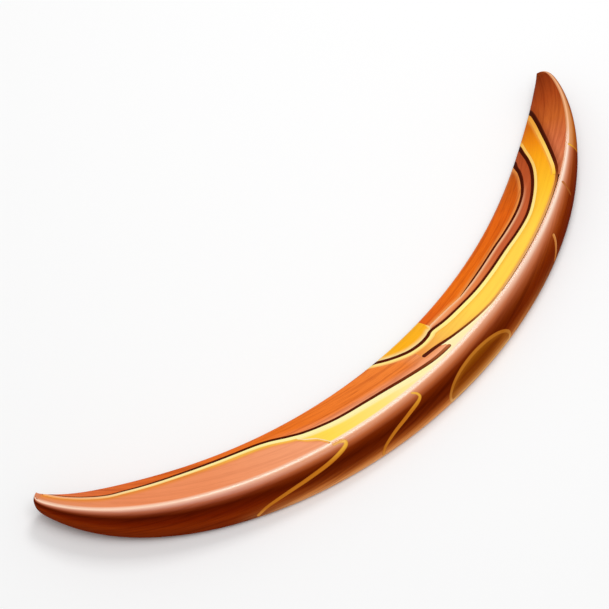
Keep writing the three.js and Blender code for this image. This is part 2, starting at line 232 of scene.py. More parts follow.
def make_piece(name, points, faces, fields, material):
    """Smooth mesh with its sharp corners kept, riding on the body and standing for its CAD node."""
    mesh = bpy.data.meshes.new(name)
    mesh.from_pydata(points.reshape(-1, 3).tolist(), [], faces)
    for key, values in fields.items():
        layer = mesh.attributes.new(key, "FLOAT", "POINT")
        layer.data.foreach_set("value", np.asarray(values, np.float32).ravel())
    bm = bmesh.new()
    bm.from_mesh(mesh)
    bmesh.ops.remove_doubles(bm, verts=bm.verts, dist=MERGE)
    bmesh.ops.dissolve_degenerate(bm, edges=bm.edges, dist=MERGE / 2)
    bmesh.ops.recalc_face_normals(bm, faces=bm.faces)
    for face in bm.faces:
        face.smooth = True
    for edge in bm.edges:
        if len(edge.link_faces) == 2 and edge.calc_face_angle(0) > math.radians(SHARP_CORNER):
            edge.smooth = False
    bm.to_mesh(mesh)
    bm.free()
    mesh.materials.append(material)
    piece = bpy.data.objects.new(name + "_finish", mesh)
    bpy.context.scene.collection.objects.link(piece)
    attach(piece, "root")
    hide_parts(name)


def ring_faces(rings, count, round_trip=False):
    """Quads between rings of points, with a face at each end or joined up all round."""
    faces = []
    for i in range(rings if round_trip else rings - 1):
        after = (i + 1) % rings
        for j in range(count):
            beside = (j + 1) % count
            faces.append((i * count + j, i * count + beside,
                          after * count + beside, after * count + j))
    if not round_trip:
        faces.append(tuple(range(count))[::-1])
        faces.append(tuple((rings - 1) * count + j for j in range(count)))
    return faces


def closed_grid(name, top, bottom, fields, material, round_trip=False):
    """Closed piece from the grids of its top and its bottom."""
    points = np.concatenate([top, bottom[:, ::-1]], axis=1)
    both = {key: np.concatenate([v, v[:, ::-1]], axis=1) for key, v in fields.items()}
    faces = ring_faces(*points.shape[:2], round_trip=round_trip)
    make_piece(name, points, faces, both, material)


def top_tile(name, along, run, fields, material, lift):
    """Inlay of the top face: its top follows the blade and its floor lies in the recess."""
    profile = Profile(along)
    across, z = profile.top(run)
    z = z + lift
    below = np.minimum(z - THINNEST, profile.flat_face(across) - INLAY_DEPTH + FIT_GAP)
    values = {"along": along * ARM_LENGTH, "across": run, **fields}
    top = place(along, *profile.close(across, z))
    bottom = place(along, *profile.close(across, below))
    closed_grid(name, top, bottom, values, material)


# ------------------------------------------------------------------ pattern lines

def spline(points, steps=16):
    """Smooth run through given points."""
    p = np.array([points[0], *points, points[-1]], float)
    t = np.linspace(0, 1, steps, endpoint=False)[:, None]
    parts = []
    for a, b, c, d in zip(p, p[1:], p[2:], p[3:]):
        leave, arrive = (c - a) / 2, (d - b) / 2
        cubic = 2 * b - 2 * c + leave + arrive
        square = 3 * c - 3 * b - 2 * leave - arrive
        parts.append(cubic * t ** 3 + square * t ** 2 + leave * t + b)
    return np.concatenate([*parts, p[-1:]])


def run_along(points):
    """Distance walked from the first point to each of them."""
    return np.concatenate([[0], np.cumsum(np.linalg.norm(np.diff(points, axis=0), axis=1))])


def rounded_half(run, half):
    """Half widths of a line along its run, drawn in round its two ends."""
    to_end = np.minimum(run, run[-1] - run)
    inside = np.clip(1 - to_end / half, 0, 0.995)
    return half * np.sqrt(1 - inside ** 2)


class Line:
    """A stringing line on the top face: its path in millimetres and its width along it.

    points are percentages of the arm's length along and of the face's width across, and widths
    are (percentage along, millimetres)."""

    def __init__(self, points, widths):
        path = spline(points)
        self.path = path * [ARM_LENGTH / 100, FACE_WIDTH / 100]
        way = np.gradient(self.path, axis=0)
        way /= np.linalg.norm(way, axis=1)[:, None]
        self.aside = np.stack([-way[:, 1], way[:, 0]], axis=1)
        where, width = np.array(widths, float).T
        half = np.interp(path[:, 0], where, width) / 2
        self.half = rounded_half(run_along(self.path), half)

    def shifted(self, side, extra):
        """Path moved past the line's edge on one side (+1 inner edge, -1 ridge) by extra."""
        distance = side * (self.half + extra)
        return self.path + self.aside * np.reshape(distance, (-1, 1))

    def bound(self, side, extra):
        """The shifted path as a function: distance across at a place along, in millimetres."""
        moved = self.shifted(side, extra)
        order = np.argsort(moved[:, 0])
        return lambda s: np.interp(s, moved[order, 0], moved[order, 1])


near = Line([(-98.4, 26), (-92.9, 32), (-83, 43), (-77.1, 56), (-66.2, 72), (-56.4, 79.5), (-45.5, 81),
             (-39.5, 76), (-34.1, 62), (-30.2, 53), (-22.7, 43.5), (-14.8, 39), (-8.9, 34),
             (-3.8, 27.5), (3.8, 17), (7.5, 14), (10.9, 13.5)],
            [(-98, 0.7), (-84, 1.2), (-60, 1.9), (-38, 2.1), (-20, 2.0), (3, 2.6), (9, 2.8)])
upper = Line([(-5.9, 112), (-4.4, 104), (-2, 90), (0, 80), (2.7, 69.5), (4.9, 63.5), (7.9, 60),
              (10.4, 61), (12.5, 64), (16.8, 57.6), (22.7, 52.5), (28.3, 48), (34, 46), (41.5, 44),
              (47.2, 39), (52.4, 36), (56.4, 38), (62.3, 45), (67.9, 55), (71.7, 65), (75.4, 76),
              (79.1, 84), (83.7, 94)],
             [(-6, 2.9), (0, 2.5), (8, 2.6), (12, 2.3), (20, 1.7), (50, 1.8), (75, 2.2)])
inner = Line([(24.7, 65), (33.6, 65.5), (41.5, 65), (47.2, 61), (52.4, 58), (56.4, 57.5), (60.3, 60),
              (64.3, 67), (67.9, 76), (70.2, 84), (72.2, 88), (75.6, 97)],
             [(25, 0.3), (30, 1.2), (45, 1.6), (60, 1.8), (72, 2.5)])
far = Line([(4.4, 35.5), (8.2, 31.8), (11, 26.8), (13.2, 22.5), (16.5, 17.2), (20, 12), (23.5, 8),
            (27.7, 5.2), (37.6, 5.2), (49.4, 5.2), (61.3, 5.6), (64.9, 7), (67.9, 12), (71.7, 22.5),
            (75.4, 32), (80.1, 42), (85, 49), (90.6, 55), (94.9, 62)],
           [(4.4, 2.8), (8, 2.6), (13, 1.9), (20, 1.5), (30, 1.3), (62, 1.3), (70, 2.0), (80, 2.4)])

# Widths of the pale lines, millimetres
PALE_NEAR = 2.7
PALE_UPPER = np.interp(upper.path[:, 0], [30, 110, 150, 190], [3.0, 2.4, 1.8, 1.6])
PALE_FAR = 2.0


def mm(percent):
    """Millimetres along from a percentage of the arm's length."""
    return percent * ARM_LENGTH / 100


def joint(*points):
    """A plain joint between two panels, as a function of place along, in millimetres."""
    where, across = np.array(points, float).T
    where, across = mm(where), across * FACE_WIDTH / 100
    return lambda s: np.interp(s, where, across)


# Percentages along at which one joint or line gives way to another
ROSE_JOINT_START, ROSE_JOINT_END = -35.6, -27.7
UPPER_START, PALE_END, GOLDEN_START = -4, 3, 4.4
FINGER_TURN, FINGER_END = 9.6, 10.9
RED_START, RED_JOINT_END, FAR_TURN, RED_TAIL = 12.5, 24.7, 65.3, 75.6
BREAKS = [mm(percent) for percent in (
    ROSE_JOINT_START, ROSE_JOINT_END, UPPER_START, PALE_END, GOLDEN_START, FINGER_TURN, RED_START,
    RED_JOINT_END, FAR_TURN, RED_TAIL)]
BREAK_GAP = 0.02  # millimetres to the rows on either side of a break

rose_joint = joint((ROSE_JOINT_START, 66), (-32.1, 37), (-29.7, 25), (-28.2, 8),
                   (ROSE_JOINT_END, -10))
red_joint = joint((RED_START, 64), (13.5, 74.5), (16.8, 73), (20.8, 70), (RED_JOINT_END, 65))
finger_joint = joint((FINGER_TURN, 25.5), (10.6, 20), (FINGER_END, 13.5))


# ------------------------------------------------------------------ materials

def node(tree, kind, inputs=None, **settings):
    made = tree.nodes.new(kind)
    for key, value in settings.items():
        setattr(made, key, value)
    for key, value in (inputs or {}).items():
        if isinstance(value, bpy.types.NodeSocket):
            tree.links.new(value, made.inputs[key])
        else:
            made.inputs[key].default_value = value
    return made


def rgb(text):
    """Linear colour from a hex one."""
    parts = [int(text[i:i + 2], 16) / 255 for i in (0, 2, 4)]
    linear = [c / 12.92 if c <= 0.04045 else ((c + 0.055) / 1.055) ** 2.4 for c in parts]
    return (*linear, 1.0)


def field(tree, name):
    return node(tree, "ShaderNodeAttribute", attribute_name=name).outputs["Fac"]


def between(tree, value, low, high, smooth=True):
    """0 where value is at low, 1 where it is at high."""
    kind = "SMOOTHSTEP" if smooth else "LINEAR"
    made = node(tree, "ShaderNodeMapRange", {0: value, 1: low, 2: high}, interpolation_type=kind)
    return made.outputs[0]


def mix(tree, amount, a, b, blend="MIX"):
    made = node(tree, "ShaderNodeMix", {0: amount, 6: a, 7: b}, data_type="RGBA", blend_type=blend)
    return made.outputs[2]


def calc(tree, operation, a, b):
    return node(tree, "ShaderNodeMath", {0: a, 1: b}, operation=operation).outputs[0]


def ramp(tree, value, stops):
    """Colour ramp from (place, colour) pairs."""
    low, high = stops[0][0], stops[-1][0]
    made = node(tree, "ShaderNodeValToRGB", {0: between(tree, value, low, high, smooth=False)})
    elements = made.color_ramp.elements
    for _ in stops[2:]:
        elements.new(0.5)
    for element, (where, colour) in zip(elements, stops):
        element.position = (where - low) / (high - low)
        element.color = rgb(colour)
    return made.outputs[0]


def vector(tree, x, y, z):
    return node(tree, "ShaderNodeCombineXYZ", {0: x, 1: y, 2: z}).outputs[0]


def noise(tree, coordinates, scale, detail, distortion=0.0):
    settings = {"Vector": coordinates, "Scale": scale, "Detail": detail, "Distortion": distortion}
    return node(tree, "ShaderNodeTexNoise", settings).outputs[0]


STREAK_TINT = rgb("b07a62")
PORE_TINT = rgb("a87258")
FIBRE_STRETCH = 0.03  # how much slower the grain changes along the blade than across it


def wood(name, colour, seed, streak, width=2.0, slant=0.0, across="across", coat=0.08, gloss=0.06):
    """Lacquered wood: its colour, darker streaks along the fibres, pores and a clear coat.

    colour adds the piece's colour to the tree, painted light included where it holds some, and coat
    and streak may do the same for their amounts. width is the distance between streaks and slant how
    much they run across per millimetre along. across names the field measured over the fibres."""
    material = bpy.data.materials.new(name)
    material.use_nodes = True
    tree = material.node_tree
    tree.nodes.clear()
    along = field(tree, "along")
    sideways = calc(tree, "ADD", field(tree, across), calc(tree, "MULTIPLY", along, slant))
    fibres = vector(tree, calc(tree, "MULTIPLY", along, FIBRE_STRETCH), sideways, seed)
    fine = noise(tree, fibres, 4.0, 4.0)
    broad = noise(tree, fibres, 1.0 / width, 2.0, 0.6)
    base = colour(tree)
    streak = streak(tree) if callable(streak) else streak
    streaks = calc(tree, "MULTIPLY", between(tree, broad, 0.55, 0.34), streak)
    base = mix(tree, streaks, base, mix(tree, 1.0, base, STREAK_TINT, "MULTIPLY"))
    pores = calc(tree, "MULTIPLY", between(tree, fine, 0.52, 0.30), streak)
    base = mix(tree, pores, base, mix(tree, 1.0, base, PORE_TINT, "MULTIPLY"))
    rough = calc(tree, "ADD", calc(tree, "MULTIPLY", fine, 0.2), 0.35)
    bump = node(tree, "ShaderNodeBump", {"Strength": 0.12, "Distance": 0.0001, "Height": fine})
    shader = node(tree, "ShaderNodeBsdfPrincipled", {
        "Base Color": base, "Roughness": rough, "Normal": bump.outputs[0],
        "Specular IOR Level": 0.0, "Coat Weight": coat(tree) if callable(coat) else coat,
        "Coat Roughness": gloss, "Coat IOR": 1.5})
    node(tree, "ShaderNodeOutputMaterial", {0: shader.outputs[0]})
    return material


def along_colour(*stops):
    """Colour that changes along the blade, from (millimetres along, colour) pairs."""
    return lambda tree: ramp(tree, field(tree, "along"), stops)


def edged(body, low=None, high=None):
    """Colour of a panel with tints that fade in from its two long edges.

    low and high are (colour, reach in millimetres, strength), and may end with two places along
    between which the tint fades in."""
    def build(tree):
        base = body(tree)
        for name, tint in (("low", low), ("high", high)):
            if tint:
                colour, reach, strength, *fade = tint
                near_edge = between(tree, field(tree, name), reach, 0.0)
                amount = calc(tree, "MULTIPLY", near_edge, strength)
                if fade:
                    faded = between(tree, field(tree, "along"), *fade)
                    amount = calc(tree, "MULTIPLY", amount, faded)
                base = mix(tree, amount, base, rgb(colour))
        return base
    return build


# ------------------------------------------------------------------ pieces of the top face

def panel(name, start, end, low, high, material, lift=0.0):
    """Inlay between two bounds given as functions of place along, in millimetres."""
    breaks = [spot + side for spot in BREAKS if start < spot < end
              for side in (-BREAK_GAP, BREAK_GAP)]
    rows = max(int((end - start) / PANEL_STEP), 12)
    s = np.sort([*np.linspace(start, end, rows), *breaks])
    profile = Profile(s / ARM_LENGTH)
    bottom = profile.to_run(np.minimum(profile.from_plan(low(s)), profile.inner))
    top = profile.to_run(np.minimum(profile.from_plan(high(s)), profile.inner))
    keep = top > bottom + NARROWEST
    s, bottom, top = s[keep], bottom[keep], top[keep]
    t = np.linspace(0, 1, PANEL_COLUMNS)[None, :]
    run = bottom[:, None] + (top - bottom)[:, None] * t
    along = np.repeat(s[:, None] / ARM_LENGTH, PANEL_COLUMNS, axis=1)
    fields = {"low": run - bottom[:, None], "high": top[:, None] - run}
    top_tile(name, along, run, fields, material, lift)


def ribbon(name, line, low_edge, high_edge, material, start=-ARM_LENGTH, end=ARM_LENGTH):
    """Inlay that follows a line between two (side, extra) offsets from it."""
    low, high = line.shifted(*low_edge), line.shifted(*high_edge)
    t = np.linspace(0, 1, LINE_COLUMNS)[None, :, None]
    grid = low[:, None] * (1 - t) + high[:, None] * t
    middle = grid[:, LINE_COLUMNS // 2, 0]
    limit = ARM_LENGTH * RECESS_END
    grid = grid[(middle >= max(start, -limit)) & (middle <= min(end, limit))]
    along = np.clip(grid[..., 0] / ARM_LENGTH, -RECESS_END, RECESS_END)
    profile = Profile(along)
    across = profile.from_plan(grid[..., 1])
    inside = (across < profile.inner).any(axis=1)
    along, across = along[inside], across[inside]
    profile = Profile(along)
    run = profile.to_run(np.clip(across, RAIL_WIDTH + SEAM, profile.inner))
    width = np.linalg.norm(high - low, axis=1).max()
    share = np.repeat(np.linspace(0, 1, LINE_COLUMNS)[None, :], len(along), axis=0)
    fields = {"low": share * width, "high": (1 - share) * width}
    top_tile(name, along, run, fields, material, LIFT)


def rail(s):
    """Bound at the rail beside the ridge."""
    return np.full_like(s, RAIL_WIDTH + SEAM)


def open_edge(s):
    """Bound past the inner edge, where a panel runs out to the blade's own edge."""
    return np.full_like(s, FACE_WIDTH * 2)


def either(split, before, after):
    """One bound up to a place along, another after it."""
    return lambda s: np.where(s < split, before(s), after(s))


def lowest(*bounds):
    return lambda s: np.min([bound(s) for bound in bounds], axis=0)


def highest(*bounds):
    return lambda s: np.max([bound(s) for bound in bounds], axis=0)


def moved(bound, distance):
    return lambda s: bound(s) + distance


def top_panels():
    """Coloured panels of the top face."""
    end = ARM_LENGTH * RECESS_END - SEAM
    strip_near = near.bound(-1, PALE_NEAR + 2 * SEAM)
    strip_upper = upper.bound(-1, PALE_UPPER + 2 * SEAM)
    strip_far = far.bound(1, PALE_FAR + 2 * SEAM)
    finger_high = lowest(far.bound(-1, SEAM), either(mm(FINGER_TURN), open_edge, finger_joint))
    panel("near_rose_panel", -end, mm(ROSE_JOINT_END), rail,
          lowest(strip_near, either(mm(ROSE_JOINT_START), open_edge, moved(rose_joint, -SEAM))),
          # The pale low-edge tint beside the rail is the ridge's painted highlight carried onto the
          # face.
          wood("rose_wood", edged(edged(
              along_colour((-262, "dd8a5e"), (-200, "ea8a58"), (-150, "ec8f5e"), (-75, "f4a276")),
              low=("f8ccb0", 2.0, 0.95), high=("e4842c", 5.0, 0.9)),
              high=("fcc44c", 3.0, 0.95, -170, -110)), 1.0, 0.12, 3.0, 0.1))
    panel("near_pale_panel", mm(ROSE_JOINT_START), mm(29.7),
          highest(rail, either(mm(ROSE_JOINT_END), moved(rose_joint, SEAM), rail)),
          either(mm(PALE_END), strip_near,
                 either(mm(FINGER_TURN), near.bound(-1, SEAM), far.bound(-1, SEAM))),
          # The cream low-edge tint beside the rail is the ridge's painted highlight carried onto the
          # face.
          wood("pale_wood", edged(
              along_colour((-95, "fbc850"), (-70, "fcd850"), (-30, "fbe078"), (10, "faeab4"),
                           (45, "fbeaac"), (70, "fbe2c6")),
              low=("fbe0c4", 1.6, 1.0), high=("fff2b8", 2.5, 0.7)), 2.0, 0.03))
    panel("middle_orange_panel", -end, mm(FINGER_END), near.bound(1, SEAM),
          either(mm(UPPER_START), open_edge,
                 either(mm(GOLDEN_START), strip_upper, finger_high)),
          wood("orange_wood", edged(
              along_colour((-250, "e07038"), (-180, "e2681c"), (-90, "ec7420"), (0, "f28436"),
                           (29, "f9b884")),
              low=("f4a47a", 6.0, 0.75, -110, -50), high=("ea8a4c", 2.5, 0.5)), 3.0, 0.34, 2.4, 0.08),
          LIFT / 2)
    panel("amber_panel", mm(-5.9), mm(13.5),
          either(mm(RED_START), upper.bound(1, SEAM), moved(red_joint, SEAM)), open_edge,
          # The cream low-edge tint above the upper dark line is a painted highlight.
          wood("amber_wood", edged(
              along_colour((-15, "f5b43c"), (10, "fbb01a"), (36, "f8b024")),
              low=("fbdc98", 4.0, 0.9), high=("fcd880", 3.5, 0.7)), 4.0, 0.12))
    panel("upper_orange_panel", mm(13.5) + SEAM, mm(75.3),
          either(mm(RED_JOINT_END), moved(red_joint, SEAM), inner.bound(1, SEAM)), open_edge,
          wood("upper_orange_wood", edged(
              along_colour((36, "e05e18"), (70, "ec7014"), (140, "e26412"), (175, "c05612"),
                           (195, "903a10")),
              low=("f4a050", 3.0, 0.7), high=("eeaa70", 3.5, 0.7)), 5.0, 0.35, 2.5))
    panel("red_panel", mm(RED_START), mm(82.5), upper.bound(1, SEAM),
          either(mm(RED_JOINT_END), moved(red_joint, -SEAM),
                 either(mm(RED_TAIL), inner.bound(-1, SEAM), open_edge)),
          # The cream high-edge tint along the inner dark line is a painted highlight, fading out
          # toward the tip.
          wood("red_wood", edged(
              along_colour((33, "f4a470"), (60, "ec8c50"), (85, "de7a42"), (110, "ca6236"),
                           (150, "c65e32"), (185, "b65026"), (215, "9a4018")),
              low=("b04a20", 1.5, 0.6), high=("f8c69a", 2.4, 0.9, 175, 130)), 6.0, 0.2))
    panel("golden_panel", mm(GOLDEN_START) + SEAM, mm(94.5),
          either(mm(FAR_TURN), far.bound(1, SEAM), strip_far), strip_upper,
          wood("golden_wood", edged(
              along_colour((13, "f09448"), (22, "f6b052"), (38, "fcc450"), (60, "ffd250"),
                           (130, "ffd24a"), (165, "ffc22c"), (190, "fca818"), (206, "f08c10"),
                           (224, "d26a08"), (245, "c05a08")),
              low=("f2a64a", 1.6, 0.6), high=("ee981c", 3.0, 0.3)), 7.0, 0.08))
    panel("far_tip_panel", mm(FAR_TURN), end, rail, far.bound(-1, SEAM),
          wood("tip_wood", edged(
              along_colour((173, "e08658"), (200, "d67246"), (222, "c86428"), (242, "ac4818"),
                           (262, "84300c")), high=("8e3810", 4.0, 0.5)), 8.0, 0.3, 1.6, 0.2))


def top_lines():
    """Dark and pale stringing of the top face."""
    soft = wood("soft_stringing", edged(along_colour(
        (-250, "7a3a10"), (-170, "521a04"), (-80, "4a1402"), (-20, "622008"), (8, "7c3818"),
        (29, "b8683c")), low=("4a1402", 1.3, 0.8)), 9.0, 0.2, coat=0.04)
    dark = wood("dark_stringing", edged(along_colour(
        (-20, "541a06"), (60, "501606"), (160, "481204"), (225, "3c0e02")),
        low=("7a2e14", 1.0, 0.5), high=("6a2410", 0.7, 0.4)), 9.5, 0.2, coat=0.04)
    tan = wood("tan_stringing", edged(along_colour(
        (10, "541e12"), (36, "5e2008"), (52, "94501e"), (68, "cf8c4c"), (85, "e6aa62"),
        (150, "e6a65c"), (166, "c87c3c"), (176, "762c0c"), (188, "4c1606"), (250, "3e1204")),
        low=("86381c", 0.9, 0.5, 180, 200)), 10.0, 0.2, coat=0.04)
    ribbon("near_dark_line", near, (-1, 0), (1, 0), soft)
    ribbon("upper_dark_line", upper, (-1, 0), (1, 0), dark)
    ribbon("inner_dark_line", inner, (-1, 0), (1, 0), dark)
    ribbon("far_dark_line", far, (-1, 0), (1, 0), tan)
    pale = wood("pale_stringing", edged(along_colour(
        (-246, "f0a878"), (-226, "f4bc84"), (-200, "fae0a0"), (-120, "fdf0a0"), (-20, "fbf0b0"),
        (60, "fdeb98"), (150, "fde388"), (215, "f6b850")),
        low=("f8b440", 1.6, 0.7, -85, -125)), 11.0, 0.05)
    ribbon("near_pale_line", near, (-1, SEAM + PALE_NEAR), (-1, SEAM), pale,
           end=mm(PALE_END + 0.3))
    upper_pale = wood("upper_pale_stringing", edged(along_colour(
        (-15, "fddf86"), (20, "ffe98c"), (60, "fff090"), (150, "fde388"), (215, "f6b850")),
        low=("f4a452", 2.0, 0.85, 50, 15)), 11.5, 0.05)
    ribbon("upper_pale_line", upper, (-1, SEAM + PALE_UPPER), (-1, SEAM), upper_pale)
    far_pale = wood("far_pale_stringing", along_colour(
        (173, "ffc22c"), (184, "ffd470"), (200, "fcd060"), (222, "f2a840"), (250, "e89a34")),
        12.0, 0.05)
    ribbon("far_pale_line", far, (1, SEAM), (1, SEAM + PALE_FAR), far_pale,
           start=mm(FAR_TURN))


# ------------------------------------------------------------------ blank

def stations(end, count):
    """Places along the blade, closer together toward the tips."""
    t = np.linspace(-1, 1, count)
    return end * np.sin(t * np.pi / 2) * (0.6 + 0.4 * np.abs(t))


def core_blank(material):
    """The shaped blade with its top recess."""
    step_at_end = np.array([-RECESS_END, RECESS_END])
    along = np.concatenate([
        stations(TIP_END, BLADE_STATIONS), step_at_end - 2e-6, step_at_end + 2e-6])
    a = np.sort(along)[:, None]
    inside = np.abs(a) < RECESS_END
    profile = Profile(a)
    columns = {"across": [], "z": [], "down": []}
    counts = []

    def add(spots, down):
        """Adds columns of points to the section, given their across, z and down."""
        across, z = spots
        shape = np.broadcast_shapes(np.shape(across), np.shape(z), a.shape)
        counts.append(shape[1])
        for key, value in (("across", across), ("z", z), ("down", down)):
            columns[key].append(np.broadcast_to(value, shape))

    fall = np.linspace(0, 1, 44)[None, :]
    add(profile.side_point(fall), fall)
    corner = np.linspace(1, CORNER_END, 10)[None, 1:]
    add(profile.side_point(corner), corner)
    drop = profile.side - profile.under
    heel = np.minimum(drop * CORNER_STRETCH, (profile.inner + profile.outer) / 2) - profile.outer
    flat = np.linspace(0, 1, 8)[None, 1:]
    add(profile.close(heel + (profile.bend - heel) * flat, profile.under), UNDERSIDE)
    t = np.linspace(0, 1, 9)[None, 1:]
    lower = (1 - t ** 2) * profile.under + t ** 2 * profile.waist
    add(profile.close(profile.inner - profile.radius * (1 - t) ** 2, lower), INNER_EDGE)
    rail_run = np.minimum(RAIL_WIDTH, profile.bend / 2)
    run = rail_run + (profile.run_end() - rail_run) * np.linspace(1, 0, 26)[None, :]
    across, z = profile.top(run)
    floor = np.minimum(profile.flat_face(across) - INLAY_DEPTH, z - 0.1)
    below = sum(counts)
    add(profile.close(across[:, 1:], np.where(inside, floor, z)[:, 1:]), TOP_FACE)
    crest, z = profile.top(rail_run * np.array([[1.0, 0.66, 0.33]]))
    add(profile.close(crest, z), 0.0)
    across, z, down = (np.concatenate(part, axis=1) for part in columns.values())
    along = np.repeat(a, across.shape[1], axis=1)
    steps = np.hypot(np.diff(across, axis=1, prepend=across[:, :1]),
                     np.diff(z, axis=1, prepend=z[:, :1]))
    drop = np.where(np.arange(across.shape[1]) < below, np.cumsum(steps, axis=1), -across)
    rail = np.where(down < 0.01, across, 0)
    fields = {"along": along * ARM_LENGTH, "across": across, "down": down, "drop": drop,
              "rail": rail}
    points = place(along, across, z)
    make_piece("core_blank", points, ring_faces(*across.shape), fields, material)


# ------------------------------------------------------------------ pieces of the outer side

def side_grid(name, along, down, fields, material, round_trip=False, proud=PROUD):
    """Closed let-in piece from a grid of places on the outer side."""
    share = np.linspace(-1, 1, along.shape[1])[None, :]
    top = side_place(along, down, proud * (1 - share ** 8))
    bottom = side_place(along, down, -SIDE_DEPTH)
    values = {"along": along * ARM_LENGTH, "down": down, **fields}
    closed_grid(name, top, bottom, values, material, round_trip)


def side_line(name, points, width, material, top=1.0):
    """Let-in line over the outer side, with rounded ends. top is the share of its width there.

    points are percentages of along and down."""
    path = spline(points, 24) / 100
    along, down = path.T
    nudge = 1e-4
    per_along = (side_place(along + nudge, down) - side_place(along - nudge, down)) / (2 * nudge)
    per_down = (side_place(along, down + nudge) - side_place(along, down - nudge)) / (2 * nudge)
    way = np.gradient(path, axis=0)
    step = per_along * way[:, :1] + per_down * way[:, 1:]
    squared = [(per_along * step).sum(1), (per_down * step).sum(1)]
    aside = np.stack([-squared[1], squared[0]], axis=1)
    length = np.linalg.norm(per_along * aside[:, :1] + per_down * aside[:, 1:], axis=1)
    aside *= MM / length[:, None]
    run = run_along(side_place(along, down)) / MM
    half = rounded_half(run, np.interp(run, [3, 12], [top, 1]) * width / 2)
    share = np.linspace(-1, 1, SIDE_LINE_COLUMNS)[None, :, None]
    grid = path[:, None] + aside[:, None] * half[:, None, None] * share
    spread = np.repeat(share[..., 0], len(path), axis=0) * width / 2
    fields = {"low": width / 2 + spread, "high": width / 2 - spread, "across": spread}
    side_grid(name, grid[..., 0], grid[..., 1], fields, material)


# The oval: centre and half length along, centre, half height and lowest place down
OVAL = {"centre": 0.132, "length": 0.113, "middle": 0.84, "height": 0.5, "lowest": 1.0}
OVAL_HEART = 0.8  # place down that the fill's rings shrink to
OVAL_DEPTH = 14  # reach of the fill's tint, millimetres
OVAL_LINE = 2.4
SIDE_RUN = (RIDGE_HEIGHT - OUTER_HEIGHT + SIDE_WIDTH) * math.pi / 4  # ridge to widest line
PATCH_END = 0.88  # along
PATCH_TOP, PATCH_BOTTOM = 0.1, 0.7  # down


def oval_outline(inset):
    """Closed outline of the oval as arrays of along and down, smaller by inset millimetres."""
    turn = np.linspace(0, 2 * math.pi, 120, endpoint=False)
    along = OVAL["centre"] - (OVAL["length"] - inset / ARM_LENGTH) * np.cos(turn)
    down = OVAL["middle"] - (OVAL["height"] - inset / SIDE_RUN) * np.sin(turn)
    return along, np.minimum(down, OVAL["lowest"] - inset / SIDE_RUN)


def oval_pieces(ring_material, fill_material):
    """Stringing round the oval and the panel inside it."""
    along, down, spread = [], [], []
    for share in np.linspace(0, 1, 7):
        line = oval_outline(share * OVAL_LINE)
        along.append(line[0])
        down.append(line[1])
        spread.append(np.full_like(line[0], share * OVAL_LINE))
    along, down, spread = (np.stack(part, axis=1) for part in (along, down, spread))
    fields = {"low": spread, "high": OVAL_LINE - spread, "across": spread}
    side_grid("oval_ring", along, down, fields, ring_material, round_trip=True)
    rim_along, rim_down = oval_outline(OVAL_LINE + SEAM)
    share = np.concatenate([[1.0, 0.97], np.linspace(0.9, 0, 10)])[None, :]
    along = OVAL["centre"] + (rim_along[:, None] - OVAL["centre"]) * share
    down = OVAL_HEART + (rim_down[:, None] - OVAL_HEART) * share
    reach = (1 - share) * OVAL_DEPTH + 0 * along
    fields = {"low": reach, "high": reach, "across": down * SIDE_RUN}
    top = side_place(along, down, PROUD * 0.5)
    bottom = side_place(along, down, -SIDE_DEPTH)
    values = {"along": along * ARM_LENGTH, "down": down, **fields}
    closed_grid("oval_panel", top, bottom, values, fill_material, round_trip=True)


def tip_patch(material):
    """Amber panel of the outer side, from the tip line toward the right tip."""
    down = np.linspace(PATCH_TOP, PATCH_BOTTOM, 24)[None, :]
    start = np.interp(down, [0.28, 0.5, PATCH_BOTTOM], [0.746, 0.748, 0.755])
    along = start + (PATCH_END - start) * np.linspace(0, 1, 50)[:, None]
    down = np.broadcast_to(down, along.shape)
    rim = np.minimum(down - PATCH_TOP, PATCH_BOTTOM - down) * SIDE_RUN
    fields = {"low": (along - start) * ARM_LENGTH, "high": (PATCH_END - along) * ARM_LENGTH,
              "rim": rim, "across": down * SIDE_RUN}
    side_grid("far_side_panel", along, down, fields, material, proud=PROUD / 2)


